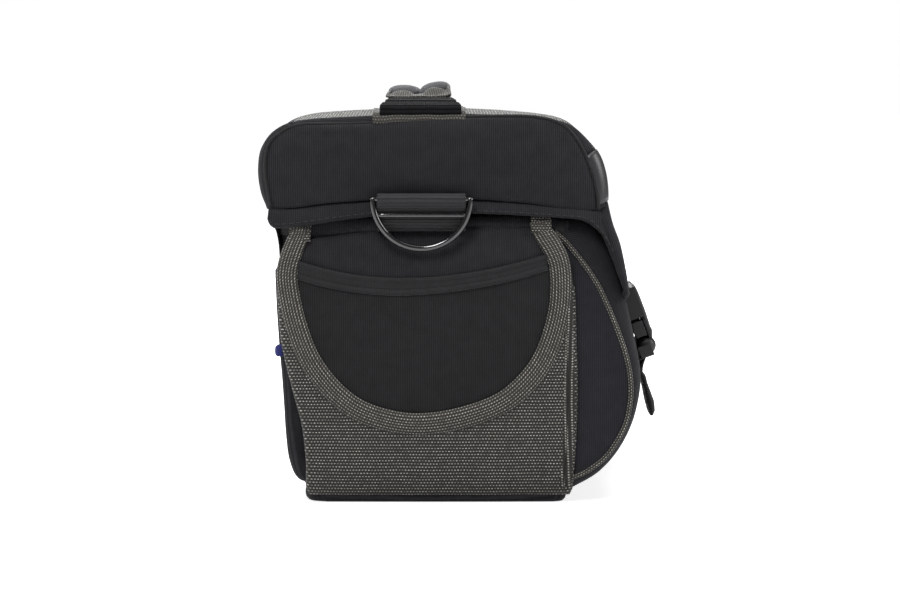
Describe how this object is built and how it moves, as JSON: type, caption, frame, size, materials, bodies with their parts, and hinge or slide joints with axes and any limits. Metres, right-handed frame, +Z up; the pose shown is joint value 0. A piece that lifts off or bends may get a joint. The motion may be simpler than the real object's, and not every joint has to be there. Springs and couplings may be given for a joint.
{
  "type": "camera shoulder bag",
  "caption": "Padded camera bag with a hinged lid, front flap clip, grab handle, end pockets, D-rings, bulged front pocket and movable inner dividers.",
  "frame": {"origin": "on the floor, under the centre of the main box", "axes": "+X along the bag's length, -Y out of the bag's front, +Z up"},
  "size_m": [0.2576, 0.184, 0.1843],
  "materials": {
    "body_fabric": "black ribbed nylon, faint sheen",
    "woven_trim": "olive-grey two-tone ballistic weave with pale crossings",
    "webbing": "black grosgrain webbing",
    "ring_plastic": "black moulded plastic, glossy",
    "buckle_plastic": "black moulded acetal, satin",
    "lining": "charcoal brushed lining over foam",
    "zip_metal": "black painted zinc",
    "tag_fabric": "blue woven tag, blank",
    "coated_patch": "smooth coated black patch, low gloss",
    "grip_fabric": "dark grey knitted padding"
  },
  "bodies": {
    "bag": {"base_panel": "body_fabric", "floor_pad": "lining", "back_shell": "body_fabric", "back_foam": "lining", "front_shell": "body_fabric", "front_foam": "lining", "end_shell_left": "body_fabric", "end_shell_right": "body_fabric", "end_foam_left": "lining", "end_foam_right": "lining", "end_upper_left": "body_fabric", "end_upper_right": "body_fabric", "end_pocket_left": "body_fabric", "end_pocket_right": "body_fabric", "pocket_hem_left": "body_fabric", "pocket_hem_right": "body_fabric", "pocket_binding_left": "woven_trim", "pocket_binding_right": "woven_trim", "end_lower_left": "woven_trim", "end_lower_right": "woven_trim", "d_ring_webbing_left": "webbing", "d_ring_webbing_right": "webbing", "front_pocket_face": "body_fabric", "front_gusset_left": "body_fabric", "front_gusset_right": "body_fabric", "front_trim_left": "woven_trim", "front_trim_right": "woven_trim", "zip_tape": "webbing", "back_pocket": "body_fabric", "side_tag": "tag_fabric", "hinge_band": "body_fabric", "strap_lower": "webbing"},
    "lid": {"lid_top": "woven_trim", "lid_foam": "lining", "lid_back": "body_fabric", "lid_front": "body_fabric", "lid_end_left": "body_fabric", "lid_end_right": "body_fabric", "lid_hem_left": "body_fabric", "lid_hem_right": "body_fabric", "lid_flap": "body_fabric", "lid_overlay": "coated_patch", "handle_anchor_left": "woven_trim", "handle_anchor_right": "woven_trim", "buckle_strap": "webbing", "buckle_receptacle": "buckle_plastic"},
    "handle": {"handle_webbing": "webbing", "handle_grip": "grip_fabric"},
    "d_ring_left": {"d_ring_left": "ring_plastic"},
    "d_ring_right": {"d_ring_right": "ring_plastic"},
    "divider_left": {"divider_left": "lining"},
    "divider_right": {"divider_right": "lining"},
    "zip_slider": {"zip_slider": "zip_metal"},
    "zip_pull": {"zip_pull": "zip_metal"},
    "buckle_insert": {"buckle_insert": "buckle_plastic"},
    "prong_left": {"prong_left": "buckle_plastic"},
    "prong_right": {"prong_right": "buckle_plastic"},
    "strap_tail": {"strap_tail": "webbing"}
  },
  "joints": [
    {"name": "lid_hinge", "type": "hinge", "parent": "bag", "child": "lid", "pos_m": [0, 0.072, 0.124], "axis": [-1, 0, 0], "range_deg": [0, 110]},
    {"name": "handle_lift", "type": "slide", "parent": "lid", "child": "handle", "axis": [0, 0, 1], "range_m": [0, 0.012]},
    {"name": "d_ring_left_swing", "type": "hinge", "parent": "bag", "child": "d_ring_left", "pos_m": [-0.12605, 0.005, 0.133], "axis": [0, 1, 0], "range_deg": [0, 170]},
    {"name": "d_ring_right_swing", "type": "hinge", "parent": "bag", "child": "d_ring_right", "pos_m": [0.12605, 0.005, 0.133], "axis": [0, -1, 0], "range_deg": [0, 170]},
    {"name": "divider_left_shift", "type": "slide", "parent": "bag", "child": "divider_left", "axis": [1, 0, 0], "range_m": [-0.03, 0.03]},
    {"name": "divider_right_shift", "type": "slide", "parent": "bag", "child": "divider_right", "axis": [1, 0, 0], "range_m": [-0.03, 0.03]},
    {"name": "zip_run", "type": "slide", "parent": "bag", "child": "zip_slider", "axis": [1, 0, 0], "range_m": [0, 0.176]},
    {"name": "zip_pull_flip", "type": "hinge", "parent": "zip_slider", "child": "zip_pull", "pos_m": [-0.088, -0.0654, 0.12075], "axis": [0, -1, 0], "range_deg": [0, 170]},
    {"name": "buckle_release", "type": "slide", "parent": "bag", "child": "buckle_insert", "axis": [0, -0.342, -0.9397], "range_m": [0, 0.022]},
    {"name": "prong_left_squeeze", "type": "hinge", "parent": "buckle_insert", "child": "prong_left", "pos_m": [-0.0086, -0.09962, 0.06031], "axis": [0, 0.9397, -0.342], "range_deg": [0, 9]},
    {"name": "prong_right_squeeze", "type": "hinge", "parent": "buckle_insert", "child": "prong_right", "pos_m": [0.0086, -0.09962, 0.06031], "axis": [0, -0.9397, 0.342], "range_deg": [0, 9]},
    {"name": "strap_tail_swing", "type": "hinge", "parent": "buckle_insert", "child": "strap_tail", "pos_m": [0, -0.1001, 0.0426], "axis": [-1, 0, 0], "range_deg": [-8, 60]}
  ]
}
